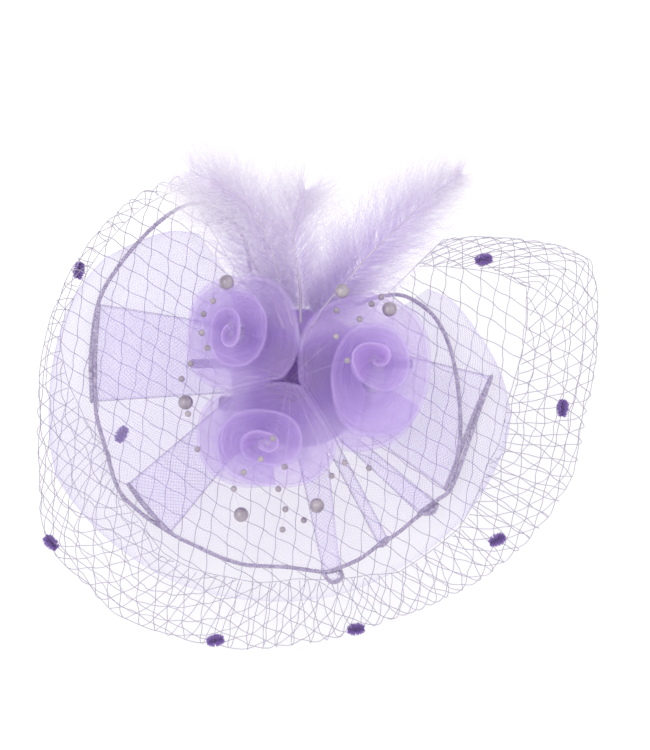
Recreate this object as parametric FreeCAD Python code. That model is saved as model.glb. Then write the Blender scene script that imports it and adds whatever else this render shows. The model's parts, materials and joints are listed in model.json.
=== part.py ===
"""Birdcage-veil fascinator: a felt base with tulle, crin, organza roses, feathers and pearl sprays,
carried by ribbon loops on a wrapped headband and by a crocodile clip sewn under the base.

Everything is drawn in the milliner's frame and then tilted about X: x is across the head, y is up the face
of the fascinator and z is out of it. The origin is the top of the head's seat inside the headband.
"""
import FreeCAD, Part
import math
import os

V = FreeCAD.Vector

# ---------------------------------------------------------------- driving dimensions, mm and degrees
FACE_ELEVATION = 50.0  # how far the face of the fascinator looks up from the horizontal
BASE_OFFSET = V(0, -8, 0)  # the base sits low on the band, so the band hides behind the roses

BAND_RADIUS = 63.0  # to the middle of the band's thickness
BAND_ARC_END = 120.0  # from the crown to where each leg leaves the arc
LEG_LENGTH = 64.0
WRAP_WIDTH, WRAP_THICK = 5.2, 1.6
CORE_WIDTH, CORE_THICK = 4.0, 0.8
CORE_SHORT = 1.5  # how far the steel stops short of the ribbon at each end
TIP_LENGTH, TIP_OVERHANG, TIP_WALL = 13.0, 1.5, 0.8
BAND_CENTRE_Z = -(BAND_RADIUS - WRAP_THICK / 2)

LOOP_ANGLE, LOOP_WIDTH, LOOP_WALL, LOOP_GAP = 14.0, 8.0, 0.22, 0.05  # snug keepers of thin ribbon
LOOP_FOOT = 2.6

LINING_Z = 2.0
LINING_THICK, STIFFENER_THICK, FELT_THICK = 1.0, 1.0, 1.5
BASE_RADIUS = 38.0
STIFFENER_INSET = 0.8
BASE_TOP = LINING_Z + LINING_THICK + STIFFENER_THICK + FELT_THICK
PAD_RADIUS, PAD_HEIGHT, PAD_CENTRE = 12.0, 6.5, V(-5, -1, 0)

LAYER_THICK = 0.8
LAYER_HOLE = 19.0  # the open middle of each ring of net or crin, where the pad sits
CORD_RADIUS = 1.25

CLIP_ROW = -14.0  # the clip's middle line, below the base's centre
CLIP_TIP, CLIP_PIVOT, CLIP_HEEL = 39.0, -27.0, -45.0
CLIP_SHEET = 0.8
CLIP_WIDTH, LEVER_WIDTH = 8.0, 6.0
PIVOT_Z = -2.6
PIN_RADIUS, PIN_CLEARANCE = 0.75, 0.1
TOOTH_PITCH, TOOTH_FIRST, TOOTH_LAST = 3.0, 14.0, 35.0

FLUFF_SIDES = 12
WIRE_RADIUS = 0.3
LARGE_PEARL, SMALL_PEARL = 4.0, 1.7
DOT_RADIUS, DOT_LENGTH = 3.0, 9.0

# ---------------------------------------------------------------- outlines, as angle and radius about the base
VEIL_RIM = [
    (123, 128), (142, 133), (157, 136), (172, 138), (199, 147), (213, 161), (232, 160),
    (250, 151), (279, 140), (292, 138), (317, 147), (341, 155), (364, 159), (382, 167),
    (388, 152), (396, 128), (404, 107),
]
VEIL_LIP = [  # how far the curled-over front edge reaches back in from the rim
    (123, 8), (172, 8), (182, 16), (193, 28), (213, 46), (240, 38), (270, 34), (297, 22),
    (317, 29), (335, 42), (360, 41), (384, 36), (404, 20),
]
UNDER_RIM = [
    (125, 96), (141, 119), (160, 129), (176, 131), (200, 139), (225, 132), (260, 122),
    (300, 116), (343, 117), (360, 110), (374, 100), (387, 93), (396, 84),
]
BRIM_RIM = [
    (115, 101), (122, 110), (160, 116), (187, 113), (200, 112), (212, 115), (230, 109),
    (260, 104), (282, 106), (305, 99), (318, 101), (333, 97), (359, 86), (384, 81),
    (400, 70), (413, 49),
]
# heights of each layer's middle at a radius
UNDER_RISE = [(LAYER_HOLE, 6.7), (32, 6.7), (60, 9.0), (80, 12.0), (105, 20.0), (142, 42.0)]
BRIM_RISE = [(LAYER_HOLE, 7.5), (30, 7.5), (60, 10.2), (75, 13.6), (118, 30.5)]


def along(table, x):
    """The value that a table of points gives at x, straight between its points."""
    for (x0, y0), (x1, y1) in zip(table, table[1:]):
        if x <= x1:
            return y0 + (y1 - y0) * max(x - x0, 0) / (x1 - x0)
    return table[-1][1]


def polar(angle, radius, z=0.0):
    a = math.radians(angle)
    return V(radius * math.cos(a), radius * math.sin(a), z)


def steps(first, last, count):
    return [first + (last - first) * i / (count - 1) for i in range(count)]


# ---------------------------------------------------------------- small helpers for solids
def polygon(points):
    return Part.makePolygon(list(points) + [points[0]])


def ruled_solid(wires):
    """A solid through closed wires of equal corner counts."""
    solid = Part.makeLoft(wires, True, True)
    if solid.Volume < 0:
        solid.reverse()
    return solid


def offset_strip(line, thick):
    """The closed outline, in radius and height, of a strip of this thickness about a line of points."""
    upper, lower = [], []
    for i, (r, z) in enumerate(line):
        before, after = line[max(i - 1, 0)], line[min(i + 1, len(line) - 1)]
        dr, dz = after[0] - before[0], after[1] - before[1]
        run = math.hypot(dr, dz)
        nr, nz = -dz / run * thick / 2, dr / run * thick / 2
        upper.append((r + nr, z + nz))
        lower.append((r - nr, z - nz))
    return upper + lower[::-1]


def fan_layer(profile, first, last, count):
    """A layer of cloth swept round the base, whose line of radius and height is given at each angle."""
    wires = []
    for angle in steps(first, last, count):
        outline = offset_strip(profile(angle), LAYER_THICK)
        wires.append(polygon([polar(angle, r, z) for r, z in outline]))
    return ruled_solid(wires)


def turned(profile, centre):
    """A solid turned about a line through centre, parallel to z, from a closed outline of radius and height."""
    face = Part.Face(polygon([V(r, 0, z) for r, z in profile]))
    return face.revolve(V(0, 0, 0), V(0, 0, 1), 360).translated(V(centre[0], centre[1], 0))


def sideways(points, width, middle=0.0):
    """A closed outline in x and z, thickened across y about the middle."""
    face = Part.Face(polygon([V(x, middle - width / 2, z) for x, z in points]))
    return face.extrude(V(0, width, 0))


def rod(a, b, radius):
    return Part.makeCylinder(radius, (b - a).Length, a, b - a)


def fused(shapes):
    return shapes[0].multiFuse(shapes[1:]).removeSplitter() if len(shapes) > 1 else shapes[0]


# ---------------------------------------------------------------- headband
def band_face(half, extra):
    """The band's side outline: the arc over the head and the two straight legs, half a thickness each side."""
    centre = V(0, 0, BAND_CENTRE_Z)

    def on_arc(radius, angle):
        a = math.radians(angle)
        return centre + V(radius * math.sin(a), 0, radius * math.cos(a))

    def leg_end(radius, side):
        a = math.radians(BAND_ARC_END)
        away = V(side * math.cos(a), 0, -math.sin(a))
        return on_arc(radius, side * BAND_ARC_END) + away * (LEG_LENGTH + extra)

    edges = []
    for radius in (BAND_RADIUS - half, BAND_RADIUS + half):
        arc = Part.Arc(on_arc(radius, -BAND_ARC_END), on_arc(radius, 0), on_arc(radius, BAND_ARC_END))
        edges.append(arc.toShape())
        for side in (-1, 1):
            edges.append(Part.makeLine(on_arc(radius, side * BAND_ARC_END), leg_end(radius, side)))
    for side in (-1, 1):
        edges.append(Part.makeLine(leg_end(BAND_RADIUS - half, side), leg_end(BAND_RADIUS + half, side)))
    return Part.Face(Part.Wire(Part.__sortEdges__(edges)))


def band_solid(width, thick, extra):
    face = band_face(thick / 2, extra)
    face.translate(V(0, -width / 2, 0))
    return face.extrude(V(0, width, 0))


def headband():
    core = band_solid(CORE_WIDTH, CORE_THICK, -CORE_SHORT)
    outside = band_solid(WRAP_WIDTH, WRAP_THICK, 0)
    sleeve = band_solid(WRAP_WIDTH + 2 * TIP_WALL, WRAP_THICK + 2 * TIP_WALL, TIP_OVERHANG)
    a = math.radians(BAND_ARC_END)
    away = V(math.cos(a), 0, -math.sin(a))
    start = V(0, 0, BAND_CENTRE_Z) + V(math.sin(a), 0, math.cos(a)) * BAND_RADIUS
    start += away * (LEG_LENGTH - TIP_LENGTH)
    window = Part.makeBox(40, 20, 40, V(-20, -10, 0))
    window.rotate(V(0, 0, 0), V(0, 1, 0), math.degrees(math.atan2(away.x, away.z)))
    window.translate(start)
    tip = sleeve.common(window)
    tip = tip.makeFillet(0.6, [e for e in tip.Edges if e.Length > 2 * TIP_WALL]).cut(outside)
    return {
        "headband_core": core,
        "headband_wrap": outside.cut(core),
        "headband_tip_right": tip,
        "headband_tip_left": tip.mirror(V(0, 0, 0), V(1, 0, 0)),
    }


def band_loop(side):
    """A keeper of folded ribbon: a floor under the band, two walls up to the lining, and a sewn foot each side."""
    inner = BAND_RADIUS - WRAP_THICK / 2 - LOOP_GAP
    half_room = WRAP_WIDTH / 2 + LOOP_GAP
    half_angle = math.degrees(LOOP_WIDTH / 2 / BAND_RADIUS)
    centre = V(0, 0, BAND_CENTRE_Z)

    def sector(low, high, half_width):
        ring = Part.makeCylinder(high, 2 * half_width, centre - V(0, half_width, 0), V(0, 1, 0))
        ring = ring.cut(Part.makeCylinder(low, 2 * half_width, centre - V(0, half_width, 0), V(0, 1, 0)))
        points = [centre]
        for edge in (-half_angle, half_angle):
            a = math.radians(side * LOOP_ANGLE + edge)
            points.append(centre + V(math.sin(a), 0, math.cos(a)) * 120)
        wedge = Part.Face(polygon(points))
        wedge.translate(V(0, -half_width, 0))
        return ring.common(wedge.extrude(V(0, 2 * half_width, 0)))

    block = sector(inner - LOOP_WALL, inner + 12, half_room + LOOP_WALL)
    room = sector(inner, inner + 12, half_room)
    below_lining = Part.makeBox(200, 60, 200, V(-100, -30, LINING_Z - 200))
    loop = block.cut(room).common(below_lining)
    x = side * BAND_RADIUS * math.sin(math.radians(LOOP_ANGLE))
    feet = []
    for way in (-1, 1):
        y = way * (half_room + LOOP_WALL)
        low = V(x - LOOP_WIDTH / 2, min(y, y + way * LOOP_FOOT), LINING_Z - LOOP_WALL)
        feet.append(Part.makeBox(LOOP_WIDTH, LOOP_FOOT, LOOP_WALL, low))
    return fused([loop] + feet)


# ---------------------------------------------------------------- base
def disc(radius, low, thick):
    return Part.makeCylinder(radius, thick, V(0, 0, low))


def base():
    stiffener_low = LINING_Z + LINING_THICK
    felt_low = stiffener_low + STIFFENER_THICK
    felt = disc(BASE_RADIUS, felt_low, FELT_THICK)
    pad = Part.makeCylinder(PAD_RADIUS, PAD_HEIGHT, PAD_CENTRE + V(0, 0, BASE_TOP))
    top_edge = [e for e in pad.Edges if abs(e.CenterOfMass.z - BASE_TOP - PAD_HEIGHT) < 0.01]
    return {
        "base_lining": disc(BASE_RADIUS, LINING_Z, LINING_THICK),
        "base_stiffener": disc(BASE_RADIUS - STIFFENER_INSET, stiffener_low, STIFFENER_THICK),
        "base_felt_top": felt,
        "center_pad": pad.makeFillet(2.5, top_edge),
    }


# ---------------------------------------------------------------- crocodile clip
def clip_ear(middle, low, high):
    """A side tab with a round end about the pivot, bored for the pin."""
    tab = sideways([(CLIP_PIVOT - 3, low), (CLIP_PIVOT + 3, low), (CLIP_PIVOT + 3, high),
                    (CLIP_PIVOT - 3, high)], CLIP_SHEET, middle)
    rounded = rod(V(CLIP_PIVOT, middle - CLIP_SHEET / 2, PIVOT_Z), V(CLIP_PIVOT, middle + CLIP_SHEET / 2, PIVOT_Z), 3)
    return tab.fuse(rounded)


def clip():
    arm_low = LINING_Z - CLIP_SHEET
    pin_half = CLIP_WIDTH / 2 + 0.4
    bore = rod(V(CLIP_PIVOT, -10, PIVOT_Z), V(CLIP_PIVOT, 10, PIVOT_Z), PIN_RADIUS)
    loose_bore = rod(V(CLIP_PIVOT, -10, PIVOT_Z), V(CLIP_PIVOT, 10, PIVOT_Z), PIN_RADIUS + PIN_CLEARANCE)

    arm = sideways([(CLIP_HEEL, arm_low), (CLIP_TIP, arm_low), (CLIP_TIP, LINING_Z), (CLIP_HEEL, LINING_Z)],
                   CLIP_WIDTH)
    corners = [e for e in arm.Edges if abs(e.Length - CLIP_SHEET) < 0.01]
    arm = arm.makeFillet(2.5, corners)
    outer = CLIP_WIDTH / 2 - CLIP_SHEET / 2
    fixed = fused([arm] + [clip_ear(way * outer, PIVOT_Z, arm_low + 0.2) for way in (-1, 1)]).cut(bore)

    line = [(CLIP_TIP, 0.72), (12, -0.8), (-20, -3.6), (CLIP_PIVOT, -5.2), (CLIP_HEEL, -13.2)]
    strip = sideways(offset_strip(line, CLIP_SHEET), LEVER_WIDTH)
    teeth = []
    for i in range(int((TOOTH_LAST - TOOTH_FIRST) / TOOTH_PITCH) + 1):
        x = TOOTH_FIRST + i * TOOTH_PITCH
        root = -0.8 + (x - 12) * (0.72 + 0.8) / (CLIP_TIP - 12)
        teeth.append(sideways([(x - 1, root), (x + 1, root), (x, arm_low - 0.05)], LEVER_WIDTH))
    inner = LEVER_WIDTH / 2 - CLIP_SHEET / 2
    ears = [clip_ear(way * inner, PIVOT_Z - 2.9, PIVOT_Z) for way in (-1, 1)]
    lever = fused([strip] + teeth + ears).cut(loose_bore)

    pin = rod(V(CLIP_PIVOT, -pin_half, PIVOT_Z), V(CLIP_PIVOT, pin_half, PIVOT_Z), PIN_RADIUS)
    heads = [rod(V(CLIP_PIVOT, way * (CLIP_WIDTH / 2), PIVOT_Z), V(CLIP_PIVOT, way * (pin_half + 0.3), PIVOT_Z), 1.3)
             for way in (-1, 1)]
    turns = []
    for i in range(7):
        ring = Part.makeTorus(1.3, 0.28, V(CLIP_PIVOT, -1.44 + 0.48 * i, PIVOT_Z), V(0, 1, 0))
        turns.append(ring)
    rest_leg = rod(V(CLIP_PIVOT + 0.4, -1.44, PIVOT_Z + 1.3), V(CLIP_PIVOT + 7, -1.44, arm_low - 0.35), 0.28)
    spring = fused(turns + [rest_leg])

    stitches = []
    for x in (-16, -8, 0):
        bar = sideways([(x - 0.4, arm_low - 0.4), (x + 0.4, arm_low - 0.4), (x + 0.4, LINING_Z),
                        (x - 0.4, LINING_Z)], CLIP_WIDTH + 1.0)
        stitches.append(bar.cut(arm))
    parts = {
        "clip_fixed_arm": fixed,
        "clip_moving_arm": lever,
        "clip_pin": fused([pin] + heads),
        "clip_spring": spring,
        "clip_stitches": Part.makeCompound(stitches),
    }
    return {name: shape.translated(V(0, CLIP_ROW, 0)) for name, shape in parts.items()}


# ---------------------------------------------------------------- veil, under brim, crin brim and its cord
def veil_line(angle):
    """The veil from the base out to its rim and curling over to its free front edge."""
    rim, lip = along(VEIL_RIM, angle), along(VEIL_LIP, angle)
    return [(LAYER_HOLE, 5.9), (34, 5.9), (0.6 * rim, 9), (rim - 18, 20), (rim - 4, 32), (rim, 43),
            (rim - 3 - 0.25 * lip, 52), (rim - 2 - lip, 56)]


def under_line(angle):
    rim = along(UNDER_RIM, angle)
    return [p for p in UNDER_RISE if p[0] < 80] + [(r, along(UNDER_RISE, r)) for r in (0.8 * rim, rim)]


def brim_line(angle, short=CORD_RADIUS + 0.1):
    rim = along(BRIM_RIM, angle) - short
    radii = (LAYER_HOLE, 30, min(60, 0.75 * rim), min(85, 0.9 * rim), rim)
    return [(r, along(BRIM_RISE, r)) for r in radii]


def edge_cord():
    """The braided cord, six-sided, along the brim's edge."""
    wires = []
    for angle in steps(BRIM_RIM[0][0], BRIM_RIM[-1][0], 44):
        rim = along(BRIM_RIM, angle)
        z = along(BRIM_RISE, rim)
        corners = []
        for i in range(6):
            a = math.radians(60 * i + 30)
            corners.append(polar(angle, rim + CORD_RADIUS * math.cos(a), z + CORD_RADIUS * math.sin(a)))
        wires.append(polygon(corners))
    return ruled_solid(wires)


DOTS = [  # x, y, which side of the net, and the angle that the tuft lies at
    (-119, 58, 1, 80), (98, 63, 1, 0), (140, -16, 1, 95), (105, -86, 1, 20), (30, -134, 1, 5),
    (-45, -140, 1, 10), (-133, -88, 1, 130), (-98, -31, -1, 60),
]


def veil_dots():
    """Chenille tufts, each lying against the net beside the point it is tied to."""
    tufts = []
    for x, y, side, turn in DOTS:
        angle = math.degrees(math.atan2(y, x)) % 360
        angle += 360 if angle < VEIL_RIM[0][0] - 2 else 0
        radius = math.hypot(x, y)
        line = veil_line(angle)
        spans = list(zip(line, line[1:]))
        spans = spans[4:][::-1] if side > 0 else spans[2:4]
        found = spans[-1]
        for span in spans:
            if min(span[0][0], span[1][0]) <= radius <= max(span[0][0], span[1][0]):
                found = span
                break
        (r0, z0), (r1, z1) = found
        share = min(max((radius - r0) / (r1 - r0), 0), 1) if r1 != r0 else 0.5
        dr, dz = r1 - r0, z1 - z0
        run = math.hypot(dr, dz)
        away = 0.4 + 0.4 + DOT_RADIUS
        out = (dz / run * away, -dr / run * away)
        centre = polar(angle, r0 + dr * share + out[0], z0 + dz * share + out[1])
        t = math.radians(turn)
        lie = V(math.cos(t), math.sin(t), 0) * (DOT_LENGTH / 2 - DOT_RADIUS)
        tuft = fused([rod(centre - lie, centre + lie, DOT_RADIUS),
                      Part.makeSphere(DOT_RADIUS, centre - lie), Part.makeSphere(DOT_RADIUS, centre + lie)])
        tufts.append(tuft)
    return Part.makeCompound(tufts)


# ---------------------------------------------------------------- roses
ROSES = {  # middle and half sizes of the outer petals, middle and radius of the inner roll and of the heart
    "left": dict(centre=(-30.8, 23.8), half=(31, 34), inner=(-35, 27, 18), heart=(-36.7, 28.6, 8)),
    "lower": dict(centre=(-18.4, -31.9), half=(37, 29), inner=(-20.5, -34, 16), heart=(-20.5, -36, 8)),
    "right": dict(centre=(35.6, 0.0), half=(35, 42), inner=(38.3, 8, 22), heart=(40.5, 9.7, 12)),
}
ROSE_BORDERS = {("left", "lower"): 0.505, ("left", "right"): 0.47, ("lower", "right"): 0.48}
ROSE_GAP = 0.5
ROSE_LOW, OUTER_TOP, INNER_TOP, HEART_TOP = 11.0, 40.0, 48.0, 51.0
ROSE_SIDES = 24
PETAL_WALL = 1.2


def rose_reach(name, angle):
    """How far a rose's outer petals reach at an angle: an ellipse, flattened where a neighbour presses on it."""
    rose = ROSES[name]
    a = math.radians(angle)
    reach = 1 / math.hypot(math.cos(a) / rose["half"][0], math.sin(a) / rose["half"][1])
    for pair, share in ROSE_BORDERS.items():
        if name not in pair:
            continue
        other = ROSES[pair[0] if pair[1] == name else pair[1]]
        dx, dy = other["centre"][0] - rose["centre"][0], other["centre"][1] - rose["centre"][1]
        distance = math.hypot(dx, dy)
        border = distance * (share if pair[0] == name else 1 - share) - ROSE_GAP
        facing = (math.cos(a) * dx + math.sin(a) * dy) / distance
        if facing > 0.05:
            reach = min(reach, border / facing)
    return reach


def rose_ring(name, z, scale, less):
    cx, cy = ROSES[name]["centre"]
    points = []
    for i in range(ROSE_SIDES):
        angle = 360 * i / ROSE_SIDES
        points.append(V(cx, cy, 0) + polar(angle, rose_reach(name, angle) * scale - less, z))
    return polygon(points)


def rose(name):
    """A rolled organza rose: a bowl of outer petals round an inner roll round a tight heart."""
    spread = [(ROSE_LOW, 0.5), (18, 0.72), (29, 0.9), (OUTER_TOP, 1.0)]
    outside = ruled_solid([rose_ring(name, z, s, 0) for z, s in spread])
    hollow = [(ROSE_LOW + PETAL_WALL, 0.52)] + spread[1:-1] + [(OUTER_TOP + 0.5, 1.0)]
    outer = outside.cut(ruled_solid([rose_ring(name, z, s, PETAL_WALL) for z, s in hollow]))
    x, y, r = ROSES[name]["inner"]
    low = ROSE_LOW + PETAL_WALL + 0.3
    bowl = [(0, low), (0.5 * r, low), (0.85 * r, low + 14), (r, INNER_TOP), (r - PETAL_WALL, INNER_TOP),
            (0.85 * r - PETAL_WALL, low + 14.3), (0.5 * r - PETAL_WALL, low + PETAL_WALL), (0, low + PETAL_WALL)]
    hx, hy, hr = ROSES[name]["heart"]
    foot = low + PETAL_WALL + 0.3
    roll = [(0, foot), (0.45 * hr, foot), (0.8 * hr, foot + 16), (hr, HEART_TOP - 3), (hr - 2, HEART_TOP),
            (0.35 * hr, HEART_TOP), (0.3 * hr, HEART_TOP - 9), (0, HEART_TOP - 9)]
    return {
        f"rose_{name}_outer_petals": outer,
        f"rose_{name}_inner_petals": turned(bowl, (x, y)),
        f"rose_{name}_heart": turned(roll, (hx, hy)),
    }


# ---------------------------------------------------------------- feathers
FEATHERS = {  # the quill's line, and half the fluff's width at each point
    "left_outer": ([(-4, 28, 10), (-8, 42, 16), (-13, 57, 24), (-22, 83, 40), (-38, 99, 52), (-62, 112, 68)],
                   [0.9, 1.1, 5, 9, 10, 2]),
    "left_inner": ([(-9, 27, 10), (-16, 44, 15), (-27, 64, 23), (-34, 83, 30), (-41, 100, 36), (-48, 116, 40)],
                   [0.9, 1.1, 6, 8, 8, 2]),
    "middle": ([(0, 30, 10), (0, 46, 16), (-1, 66, 26), (0, 88, 36), (4, 108, 44), (8, 124, 48)],
               [0.9, 1.1, 6, 10, 11, 3]),
    "right": ([(6, 28, 10), (14, 40, 16), (22, 50, 22), (34, 64, 32), (52, 80, 44), (67, 95, 54), (87, 110, 62)],
              [0.9, 1.1, 2, 7, 10, 10, 2]),
}
FLUFF_FLATNESS = 0.45  # depth of the fluff over its width


def feather(name):
    line, widths = FEATHERS[name]
    points = [V(*p) for p in line]
    wires = []
    for i, (point, half) in enumerate(zip(points, widths)):
        ahead = points[min(i + 1, len(points) - 1)] - points[max(i - 1, 0)]
        ahead.normalize()
        across = ahead.cross(V(0, 0, 1))
        across.normalize()
        deep = across.cross(ahead)
        flat = FLUFF_FLATNESS if half > 1.5 else 1.0
        ring = []
        for k in range(FLUFF_SIDES):
            a = 2 * math.pi * k / FLUFF_SIDES
            ring.append(point + across * (half * math.cos(a)) + deep * (half * flat * math.sin(a)))
        wires.append(polygon(ring))
    return ruled_solid(wires)


# ---------------------------------------------------------------- pearl sprays
SPRAY_ROOT_Z = BASE_TOP + PAD_HEIGHT
RISER_TOP = 50.0
L, S, N = LARGE_PEARL, SMALL_PEARL, 0.0
SPRAYS = [  # where each wire stands on the pad, then its points with the pearl threaded there, if any
    ((-6.6, 0.2), [(-28, 7, 56, N), (-49, 16, 54, S), (-52, 24, 54, S), (-51, 34, 54, S), (-46, 41, 54, S),
                   (-39, 51, 50, L)]),
    ((-6.8, -0.8), [(-32, 1, 56, N), (-58, 7.6, 52, S), (-63, -0.5, 49, S), (-61, -13, 46, L)]),
    ((-6.6, -1.8), [(-28, -7, 56, N), (-50, -12, 55, N), (-59.4, -19, 52, S), (-54.5, -38, 48, S)]),
    ((-6.0, -2.6), [(-9.5, -18, 57, N), (-14, -32, 58, S), (-20.5, -43, 58, S), (-29.7, -50, 56, S),
                    (-35, -59, 52, S), (-31.3, -73, 46, L)]),
    ((-5.0, -2.9), [(-5.5, -25, 58, N), (-8, -47, 57, S), (-11.3, -59, 54, S), (-7.6, -70, 50, S),
                    (-9.2, -81, 46, S)]),
    ((-4.0, -2.6), [(8, -30, 58, N), (17, -52, 54, S), (9.2, -68, 50, L), (2.2, -76, 46, S)]),
    ((-3.4, -1.9), [(12, -24, 58, N), (24, -45, 54, S), (37, -48, 50, S)]),
    ((-4.0, 0.4), [(8, 12, 56, N), (19.4, 22, 54, S), (19.6, 36, 52, S), (22.7, 46.4, 50, L)]),
    ((-3.3, -0.6), [(12, 5, 57, N), (25.4, 9.2, 56, S), (31.9, 31.3, 54, S), (38.3, 39.4, 52, S),
                    (43.5, 43.2, 50, S), (48, 36.8, 46, L)]),
]


def spray(root, points):
    """One clear wire, up through the gap between the roses and out over them, with its pearls bored to fit it."""
    foot = V(root[0], root[1], SPRAY_ROOT_Z)
    path = [foot, V(root[0], root[1], RISER_TOP)] + [V(x, y, z) for x, y, z, _ in points]
    pieces = [rod(a, b, WIRE_RADIUS) for a, b in zip(path, path[1:])]
    pieces += [Part.makeSphere(WIRE_RADIUS, p) for p in path[1:]]
    wire = pieces[0].multiFuse(pieces[1:])
    pearls = [Part.makeSphere(size, V(x, y, z)).cut(wire) for x, y, z, size in points if size]
    return wire, Part.makeCompound(pearls)


# ---------------------------------------------------------------- the whole object
def on_base():
    shapes = dict(base())
    shapes.update(clip())
    shapes["veil_net"] = fan_layer(veil_line, VEIL_RIM[0][0], VEIL_RIM[-1][0], 27)
    shapes["veil_dots"] = veil_dots()
    shapes["under_brim"] = fan_layer(under_line, UNDER_RIM[0][0], UNDER_RIM[-1][0], 25)
    shapes["brim_crin"] = fan_layer(brim_line, BRIM_RIM[0][0], BRIM_RIM[-1][0], 44)
    shapes["brim_edge_cord"] = edge_cord()
    for name in ROSES:
        shapes.update(rose(name))
    for name in FEATHERS:
        shapes[f"feather_{name}"] = feather(name)
    for i, (root, points) in enumerate(SPRAYS):
        wire, pearls = spray(root, points)
        shapes[f"spray_{i + 1}_wire"] = wire
        shapes[f"spray_{i + 1}_pearls"] = pearls
    return shapes


nodes = headband()
for side_name, way in (("left", -1), ("right", 1)):
    nodes[f"band_loop_{side_name}"] = band_loop(way)
for node_name, local_shape in on_base().items():
    nodes[node_name] = local_shape.translated(BASE_OFFSET)

os.makedirs("parts", exist_ok=True)
for node_name, local_shape in nodes.items():
    tilted = local_shape.copy()
    tilted.rotate(V(0, 0, 0), V(1, 0, 0), 90 - FACE_ELEVATION)
    tilted.exportStep(f"parts/{node_name}.step")
    box = tilted.BoundBox
    print(f"{node_name}: {len(tilted.Solids)} solids, {tilted.Volume:.1f} mm3, valid {tilted.isValid()}, "
          f"z {box.ZMin:.1f} to {box.ZMax:.1f}")
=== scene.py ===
"""The looks of a birdcage-veil fascinator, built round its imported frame.

Shapes are drawn in the milliner's frame, in millimetres about the middle of the felt base: u across, v up the
face and n out of it. to_world() turns them into the shared frame, in metres.
"""

import json
import math

import bpy
import numpy as np
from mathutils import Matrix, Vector


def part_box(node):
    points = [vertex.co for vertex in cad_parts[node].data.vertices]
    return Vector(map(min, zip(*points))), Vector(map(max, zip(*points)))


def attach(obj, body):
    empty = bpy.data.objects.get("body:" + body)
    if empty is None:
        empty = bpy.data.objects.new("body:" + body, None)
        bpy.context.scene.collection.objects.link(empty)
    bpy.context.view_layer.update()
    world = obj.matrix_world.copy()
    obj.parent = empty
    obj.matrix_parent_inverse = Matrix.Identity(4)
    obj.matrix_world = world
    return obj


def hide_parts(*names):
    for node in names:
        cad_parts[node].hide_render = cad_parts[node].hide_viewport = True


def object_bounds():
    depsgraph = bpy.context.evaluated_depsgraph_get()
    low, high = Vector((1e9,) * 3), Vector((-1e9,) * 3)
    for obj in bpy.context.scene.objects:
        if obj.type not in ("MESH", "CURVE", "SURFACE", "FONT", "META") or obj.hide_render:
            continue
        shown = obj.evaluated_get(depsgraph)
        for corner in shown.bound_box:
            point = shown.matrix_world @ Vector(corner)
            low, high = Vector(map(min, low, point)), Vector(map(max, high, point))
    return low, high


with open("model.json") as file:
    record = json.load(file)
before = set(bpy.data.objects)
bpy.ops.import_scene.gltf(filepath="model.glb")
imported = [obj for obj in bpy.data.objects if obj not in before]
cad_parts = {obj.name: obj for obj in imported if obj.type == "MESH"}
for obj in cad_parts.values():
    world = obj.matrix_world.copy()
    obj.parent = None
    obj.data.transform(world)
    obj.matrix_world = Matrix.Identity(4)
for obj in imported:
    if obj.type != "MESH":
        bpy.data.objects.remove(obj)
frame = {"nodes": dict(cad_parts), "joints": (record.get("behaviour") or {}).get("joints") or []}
cad_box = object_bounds()
HEADPIECE, BAND = "headpiece", "headband"

# ---------------------------------------------------------------- the milliner's frame
MM = 0.001
slide = next(j for j in frame["joints"] if j["name"] == "band_slide")
UP = np.array(Vector(slide["axis"]).normalized())
ACROSS = np.array((1.0, 0.0, 0.0))
OUT = np.cross(ACROSS, UP)
AXES = np.array((ACROSS, UP, OUT))
felt_low, felt_high = (np.array(corner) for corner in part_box("base_felt_top"))
BASE_SHIFT = UP * ((felt_low + felt_high) / 2 @ UP)


def to_world(points):
    return np.asarray(points, float) @ AXES * MM + BASE_SHIFT


def along(table, x):
    """The value that a table of points gives at x, straight between its points."""
    return np.interp(x, [p[0] for p in table], [p[1] for p in table])


def smooth_line(points, count):
    """A Catmull-Rom curve through points, in evenly spaced steps of its parameter."""
    p = np.asarray(points, float)
    p = np.vstack((2 * p[0] - p[1], p, 2 * p[-1] - p[-2]))
    spans = len(p) - 3
    t = np.linspace(0, spans, count)
    i = np.minimum(t.astype(int), spans - 1)
    f = (t - i)[:, None]
    a, b, c, d = p[i], p[i + 1], p[i + 2], p[i + 3]
    return 0.5 * (2 * b + (c - a) * f + (2 * a - 5 * b + 4 * c - d) * f**2 + (3 * b - a - 3 * c + d) * f**3)


def even_line(points, step):
    """The same line with points a fixed length apart."""
    p = np.asarray(points, float)
    run = np.concatenate(([0], np.cumsum(np.linalg.norm(np.diff(p, axis=0), axis=1))))
    at = np.linspace(0, run[-1], max(int(run[-1] / step), 2) + 1)
    return np.stack([np.interp(at, run, p[:, k]) for k in range(p.shape[1])], 1)


def wander(seed, count, scale):
    """Slow smooth noise from -1 to 1 with about count/scale bumps, the same each run."""
    rng = np.random.default_rng(seed)
    knots = rng.uniform(-1, 1, max(int(count / scale), 2) + 3)
    return np.interp(np.linspace(0, len(knots) - 1, count), range(len(knots)), knots)


# ---------------------------------------------------------------- meshes
def add_map(mesh, name, uvs):
    """Adds a UV map from one pair of values for each of the mesh's points."""
    corners = np.empty(len(mesh.loops), dtype=np.int32)
    mesh.loops.foreach_get("vertex_index", corners)
    mesh.uv_layers.new(name=name).data.foreach_set("uv", np.asarray(uvs, np.float32)[corners].ravel())


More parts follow.
